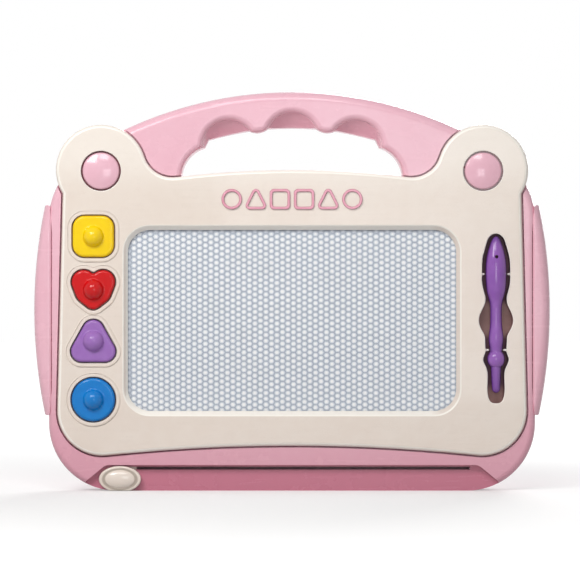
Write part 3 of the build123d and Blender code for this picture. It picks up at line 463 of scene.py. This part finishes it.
def knob_groove_painted_shade(made):
    """Painted shade in the oval groove between the knob's rim and its dome."""
    x, y, z = made.axes()
    across = (x - (knob_low.x + knob_high.x) / 2) * (2 / knob_width)
    upward = (z - (knob_high.z - knob_tall / 2)) * (2 / knob_tall)
    reach = (across * across + upward * upward) ** 0.5
    off_the_dome = reach.between(*knob_groove_inside)
    off_the_rim = 1 - reach.between(*knob_groove_outside)
    return off_the_dome * off_the_rim * knob_groove_share


print("the bezel's face lies at", round(bezel_face / mm, 2), "mm")
print("the pen's middle lies at", round(pen_middle / mm, 2), "mm")

# %% [markdown]
# The plastics themselves. Each colour is a pair that lies close together, a light and a deep one, so that
# the cloudiness stays faint. The case and the grips are one pink, and only their masks of painted shade
# differ. The stamps, the pen, the domes and the knob come from polished moulds, so they are smoother than
# the big shells.

# %% Plastics of the case and the bezel
pink_light = colour(242, 192, 206)
pink_deep = colour(239, 185, 200)
# The third pink is painted shade, for the hollows and towards the base.
pink_painted_shade = colour(202, 120, 142)
pink = moulded("pink_abs", pink_light, pink_deep, mask=case_painted_shade, painted_light_and_shade=pink_painted_shade)
# The grips get the same painted shade towards the base.
pink_grip = moulded("pink_grip_abs", pink_light, pink_deep, mask=low_painted_shade, painted_light_and_shade=pink_painted_shade)
# The domes' dark pink is a painted shadow on the flange round each dome.
pink_cap = moulded(
    "pink_cap_abs",
    colour(240, 190, 205),
    colour(236, 182, 198),
    gloss=0.16,
    coat=0.4,
    mask=flange_painted_shadow,
    painted_light_and_shade=colour(110, 44, 58),
)
# The cream's near-white third shade is painted highlight on the edges, the slopes and the ears.
cream = moulded(
    "cream_abs",
    colour(238, 226, 215),
    colour(234, 220, 208),
    gloss=0.26,
    mask=bezel_painted_highlights,
    painted_light_and_shade=colour(255, 249, 240),
)
cream_light = colour(240, 228, 217)
cream_deep = colour(235, 221, 208)
# The knob's grey third shade is painted shade in its groove.
cream_knob = moulded(
    "cream_knob_abs",
    cream_light,
    cream_deep,
    gloss=0.18,
    coat=0.4,
    mask=knob_groove_painted_shade,
    painted_light_and_shade=colour(168, 154, 140),
)
cream_inner = moulded("cream_inner_abs", cream_light, cream_deep)
# The figures' deep rose is painted shade on their edges and sides.
figure_pink = moulded(
    "figure_pink_abs",
    colour(230, 158, 178),
    colour(224, 146, 168),
    gloss=0.2,
    mask=figure_painted_shade,
    painted_light_and_shade=colour(150, 66, 92),
)


# %% Plastics of the stamps and the pen
def polished(name, light, deep, shine, mask, painted_light_and_shade):
    """The glossier plastic of the stamps and the pen."""
    gloss = 0.1
    coat = 0.25
    return moulded(name, light, deep, gloss, coat, shine, mask, painted_light_and_shade)


def stamp_plastic(name, light, deep, edge):
    """A stamp's plastic, with painted shade round the edges."""
    return polished(name, light, deep, 0.2, stamp_painted_shade, edge)


# Each stamp's third colour is painted shade round its edges.
yellow = stamp_plastic("yellow_stamp_abs", colour(255, 220, 0), colour(252, 204, 0), colour(206, 150, 0))
red = stamp_plastic("red_stamp_abs", colour(218, 2, 10), colour(204, 0, 6), colour(132, 0, 8))
lilac_light = colour(170, 124, 198)
lilac_deep = colour(154, 104, 186)
purple = stamp_plastic("purple_stamp_abs", lilac_light, lilac_deep, colour(88, 44, 124))
blue = stamp_plastic("blue_stamp_abs", colour(0, 138, 218), colour(0, 122, 204), colour(0, 66, 144))
pen_light = colour(156, 100, 188)
pen_deep = colour(140, 82, 174)
# The pen's deep purple is painted shade at its sides and on its back.
pen_purple = polished("pen_purple_abs", pen_light, pen_deep, 0.3, pen_painted_shade, colour(104, 54, 142))
print("moulded plastics:", [name for name in bpy.data.materials.keys() if name.endswith("abs")])

# %% [markdown]
# Plain inner materials. The pen's tray and the parts behind the screen are unpolished. The tray is a brown
# satin plastic with a painted shadow where it is narrow and the pen shades it. The carriers are natural
# white, the magnets are pressed ferrite, and the screws are zinc plated steel with an uneven gloss.

# %% Inner materials
satin_grain_height = 0.02 * mm
bays_middle = 126 * mm
bay_reach = (9 * mm, 15 * mm)
tray_end = (70 * mm, 80 * mm)


def satin(name, light, deep, roughness, spots=60, mask=None, painted_light_and_shade=None):
    """Unpolished plastic with a fine spark-eroded grain."""
    made = Finish(bpy.data.materials.new(name))
    shade = made.noise(spots, detail=3).between(0.35, 0.65)
    grain = made.noise(3200, detail=2)
    tone = made.blend(shade, light, deep)
    if mask:
        tone = made.blend(mask(made), tone, painted_light_and_shade)
    made.set(Base_Color=tone, Roughness=roughness + grain * 0.12)
    made.set(Normal=made.add("ShaderNodeBump", {}, {"Height": grain * satin_grain_height, "Distance": 1.0}))
    return made.owner


def painted_pen_shadow(made):
    """Painted shadow of the pen: 1 where the tray is narrow and the pen shades it, 0 in the finger bays and
    at the lower end.
    """
    z = made.axes()[2]
    off_the_middle = (z - bays_middle) * (z - bays_middle)
    off_the_bays = off_the_middle.between(bay_reach[0] ** 2, bay_reach[1] ** 2)
    return off_the_bays * z.between(*tray_end)


def turned_metal(name, light, deep):
    """Zinc plated steel: metallic, with small differences in gloss."""
    made = Finish(bpy.data.materials.new(name))
    blotch = made.noise(700, detail=3).between(0.35, 0.7)
    made.set(Base_Color=made.blend(blotch, light, deep), Metallic=1.0)
    made.set(Roughness=0.28 + blotch * 0.2)
    return made.owner


# The tray's dark third shade is a painted shadow of the pen.
tray_brown = satin(
    "tray_brown",
    colour(186, 144, 138),
    colour(170, 128, 122),
    roughness=0.42,
    mask=painted_pen_shadow,
    painted_light_and_shade=colour(104, 60, 76),
)
inner_white = satin("inner_white", colour(222, 221, 216), colour(208, 206, 200), roughness=0.5)
ferrite = satin("ferrite", colour(58, 56, 58), colour(42, 41, 44), roughness=0.7, spots=400)
rubber = satin("gasket_rubber", colour(66, 66, 70), colour(52, 52, 56), roughness=0.75)
steel = turned_metal("zinc_steel", colour(200, 202, 206), colour(160, 162, 168))
print("materials so far:", len(bpy.data.materials))

# %% [markdown]
# From solid to surface. A CAD node comes as loose triangles, so light breaks at each of them. Its mesh must
# not be touched, but a copy may be: the copy's triangles are merged, flat areas are made single faces, each
# sharp edge gets the small radius that a mould leaves, and the shading is smoothed by angle. A weighted
# normal modifier then keeps large faces flat right up to their rounded edges. On the bezel the bevel's own
# limit is off, because its shortest edges would hold all of its roundings back.


# %% Dressing a solid
smooth_angle = radians(32)
same_plane = radians(0.06)
weld = 0.004 * mm


def copy_of(node, name):
    """A free copy of a CAD node, with its triangles merged."""
    only(nodes[node])
    bpy.ops.object.duplicate()
    piece = bpy.context.active_object
    piece.name = name
    piece.data.name = name
    bpy.ops.object.parent_clear(type="CLEAR")
    del piece["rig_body"]
    del piece["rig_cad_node"]
    bpy.ops.object.mode_set(mode="EDIT")
    bpy.ops.mesh.select_all(action="SELECT")
    bpy.ops.mesh.remove_doubles(threshold=weld)
    bpy.ops.mesh.dissolve_limited(angle_limit=same_plane)
    bpy.ops.object.mode_set(mode="OBJECT")
    return piece


def smooth(piece):
    """Smooths the shading but keeps sharp edges and flat faces."""
    only(piece)
    bpy.ops.object.shade_smooth_by_angle(angle=smooth_angle)
    apply_modifier(piece, "WEIGHTED_NORMAL", keep_sharp=True, weight=80)


def stand_in(piece, node, material):
    """Lets a piece take a CAD node's place: it moves with the node's body and hides the node."""
    piece.data.materials.clear()
    piece.data.materials.append(material)
    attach(piece, nodes[node]["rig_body"])
    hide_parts(node)


def dress(node, name, material, edge=0, clamp=True):
    """Makes the smooth copy of a node, with edges rounded to a radius, and puts it in the node's place."""
    piece = copy_of(node, name)
    if edge:
        apply_modifier(
            piece,
            "BEVEL",
            width=edge,
            segments=2,
            limit_method="ANGLE",
            angle_limit=radians(40),
            use_clamp_overlap=clamp,
        )
    smooth(piece)
    stand_in(piece, node, material)
    print(f"{name}: {len(piece.data.polygons)} faces")


# %% [markdown]
# Every piece that shows is dressed. The radii grow with the size of the piece, as they do on a real mould.
# Where the CAD has given a piece its roundings, none is added.

# %% Shells
dress("front_bezel", "bezel_moulding", cream, edge=0.7 * mm, clamp=False)
dress("case_front", "case_front_moulding", pink, edge=0.5 * mm)
dress("case_back", "case_back_moulding", pink, edge=0.4 * mm)
for side in ("left", "right"):
    dress("side_grip_" + side, side + "_grip_moulding", pink_grip, edge=0.6 * mm)
    dress("ear_cap_" + side, side + "_ear_dome", pink_cap)
dress("header_figures", "raised_figures", figure_pink)
dress("pen_tray", "pen_well_tray", tray_brown)

# %% Stamps, pen, knob and screws
for kind, material in (("square", yellow), ("heart", red), ("triangle", purple), ("circle", blue)):
    dress("stamp_" + kind, kind + "_stamp_body", material, edge=0.3 * mm)
dress("pen_body", "pen_barrel", pen_purple, edge=0.15 * mm)
dress("pen_tip", "pen_point", pen_purple)
dress("slider_knob", "eraser_knob", cream_knob, edge=0.2 * mm)
dress("case_screws", "case_screw_set", steel)

# %% [markdown]
# The screen. Behind the clear film lies a sheet of six-sided cells, each filled with a white liquid in
# which the magnets draw. Up close, every cell is a bright spot in a blue-grey rim. One cell is modelled
# from a six-sided disc: insets make the rim, the wall and the swelling of the liquid. The rims lie a hair
# behind the film, because two faces at the same depth would fight for the same pixels.
#
# Columns of six-sided cells stand one and a half sides apart, and that gives the length of a side. The
# photograph's rows are a little closer than those of regular cells, so the cell is squashed to fit them.

# %% One cell
cell_column = 4.05 * mm
cell_row = 4.26 * mm
rim_width = 0.22 * mm
wall_width = 0.3 * mm
liquid_drop = 0.45 * mm
liquid_slope = 0.75 * mm
liquid_rise = 0.16 * mm
sheet_low, sheet_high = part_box("screen_honeycomb")
film_gap = 0.03 * mm
sheet_front = sheet_low.y + film_gap
cell_side = cell_column / 1.5
columns = int((sheet_high.x - sheet_low.x) / cell_column / 2) + 2
rows = int((sheet_high.z - sheet_low.z) / cell_row) + 2

bpy.ops.object.select_all(action="DESELECT")
bpy.ops.mesh.primitive_circle_add(
    vertices=6,
    radius=cell_side,
    fill_type="NGON",
    location=(sheet_low.x, sheet_front, sheet_low.z),
    rotation=(radians(90), radians(30), 0),
)
cells = bpy.context.active_object
cells.name = "screen_cells"
cells.data.name = "screen_cells"
bpy.ops.object.transform_apply(location=True, rotation=True, scale=True)
squash = cell_row / (cell_side * tan(radians(60)))
bpy.ops.object.mode_set(mode="EDIT")
bpy.ops.mesh.select_all(action="SELECT")
bpy.ops.transform.resize(value=(1, 1, squash), center_override=(sheet_low.x, sheet_front, sheet_low.z))
bpy.ops.mesh.inset(thickness=rim_width, depth=0)
bpy.ops.mesh.inset(thickness=wall_width, depth=-liquid_drop)
bpy.ops.mesh.inset(thickness=liquid_slope, depth=liquid_rise)
bpy.ops.mesh.poke()
bpy.ops.object.mode_set(mode="OBJECT")
facing = [round(face.normal.y, 2) for face in cells.data.polygons]
print("faces of one cell:", len(facing), "their directions:", sorted(set(facing)))

# %% [markdown]
# How bright each corner of the cell is goes into an attribute of the mesh: 0 on the rim, 1 in the middle
# of the liquid. It is set before the cell is repeated, so every copy carries it.

# %% Brightness of a cell
brightness = cells.data.attributes.new("liquid", "FLOAT", "POINT")
cell_middle = Vector((sheet_low.x, 0, sheet_low.z))
for point, value in zip(cells.data.vertices, brightness.data):
    reach = (Vector((point.co.x, 0, point.co.z)) - cell_middle).length
    value.value = 1 - reach / cell_side
    if point.co.y < sheet_front + liquid_drop / 4:
        value.value = 0

# %% [markdown]
# Three Array modifiers repeat the cell: a second column half a row higher, then the pair of columns across
# the sheet, then the rows. The seams are welded and the field is cut to the size of the sheet. Its open
# edge is drawn backwards, flattened and closed with one face, so that the sheet has a rim and a back.

# %% The whole sheet
cell_weld = 0.05 * mm
trim = 1.2 * mm
skirt = 0.9 * mm
rear_inset = 0.2 * mm

for count, step in (
    (2, (cell_column, 0, cell_row / 2)),
    (columns, (2 * cell_column, 0, 0)),
    (rows, (0, 0, cell_row)),
):
    apply_modifier(
        cells,
        "ARRAY",
        count=count,
        use_relative_offset=False,
        use_constant_offset=True,
        constant_offset_displace=step,
    )
bpy.ops.object.mode_set(mode="EDIT")
bpy.ops.mesh.select_all(action="SELECT")
bpy.ops.mesh.remove_doubles(threshold=cell_weld)
for place, direction in (
    ((sheet_low.x + trim, 0, 0), (-1, 0, 0)),
    ((sheet_high.x - trim, 0, 0), (1, 0, 0)),
    ((0, 0, sheet_low.z + trim), (0, 0, -1)),
    ((0, 0, sheet_high.z - trim), (0, 0, 1)),
):
    bpy.ops.mesh.select_all(action="SELECT")
    bpy.ops.mesh.bisect(plane_co=place, plane_no=direction, clear_outer=True)
bpy.ops.mesh.select_all(action="DESELECT")
bpy.ops.mesh.select_mode(type="EDGE")
bpy.ops.mesh.select_non_manifold()
bpy.ops.mesh.extrude_region_move(TRANSFORM_OT_translate={"value": (0, skirt, 0)})
bpy.ops.transform.resize(value=(1, 0, 1), center_override=(0, sheet_high.y - rear_inset, 0))
bpy.ops.mesh.edge_face_add()
bpy.ops.mesh.select_all(action="SELECT")
bpy.ops.mesh.normals_make_consistent(inside=False)
bpy.ops.object.mode_set(mode="OBJECT")
print("the cell sheet has", len(cells.data.polygons), "faces")

# %% [markdown]
# The finish of the cells goes from the blue-grey of the rims to white by each point's brightness, with a
# little unevenness. The cells along the window's top and left side get a painted shadow, because the
# bezel's slopes keep the light off them. The film is nearly clear, and only its gloss and its smudges show.

# %% Cell and film finishes
shade_inset = 4.2 * mm
shade_fade = 4.5 * mm
shaded_tone = 0.45
rim_grey = colour(164, 174, 190)
liquid_grey = colour(212, 219, 229)
liquid_white = colour(255, 255, 255)
window_top = sheet_high.z - shade_inset
window_left = sheet_low.x + shade_inset

liquid = Finish(bpy.data.materials.new("cell_liquid"))
bright = liquid.add("ShaderNodeAttribute", {"attribute_name": "liquid"}, output="Fac")
uneven = liquid.noise(260, detail=2).between(0.3, 0.7)
x, y, z = liquid.axes()
# Painted shadow along the window's top and left side.
below_the_top = 1 - z.between(window_top - shade_fade, window_top)
off_the_left = x.between(window_left, window_left + shade_fade)
tone = (bright + (uneven - 0.5) * 0.08) * (shaded_tone + below_the_top * off_the_left * (1 - shaded_tone))
stops = ((0.0, rim_grey), (0.3, liquid_grey), (0.68, liquid_white))
liquid_colour = liquid.add("ShaderNodeValToRGB", {"stops": stops}, {"Fac": tone})
liquid.set(Base_Color=liquid_colour, Roughness=0.42 + uneven * 0.1)
stand_in(cells, "screen_honeycomb", liquid.owner)

film = Finish(bpy.data.materials.new("clear_film"))
smudge = film.noise(36, detail=4, roughness=0.6).between(0.45, 0.75)
film.set(Base_Color=(1, 1, 1, 1), Roughness=0.12 + smudge * 0.12, Alpha=0.05 + smudge * 0.03)
film.owner.surface_render_method = "BLENDED"

# %% [markdown]
# The other nodes keep their CAD mesh. The film is flat and the rest lies inside, so a material is enough.

# %% Materials of the nodes that stay
for node, material in (
    ("screen_front_film", film.owner),
    ("screen_gasket", rubber),
    ("screen_rear_film", inner_white),
    ("screen_frame", inner_white),
    ("guide_rail_top", inner_white),
    ("guide_rail_bottom", inner_white),
    ("eraser_bar", inner_white),
    ("eraser_magnet", ferrite),
    ("slider_carriage", cream_inner),
    ("pen_magnet", ferrite),
    ("bezel_screws", steel),
    ("stamp_magnet_square", ferrite),
    ("stamp_magnet_heart", ferrite),
    ("stamp_magnet_triangle", ferrite),
    ("stamp_magnet_circle", ferrite),
):
    nodes[node].data.materials.clear()
    nodes[node].data.materials.append(material)
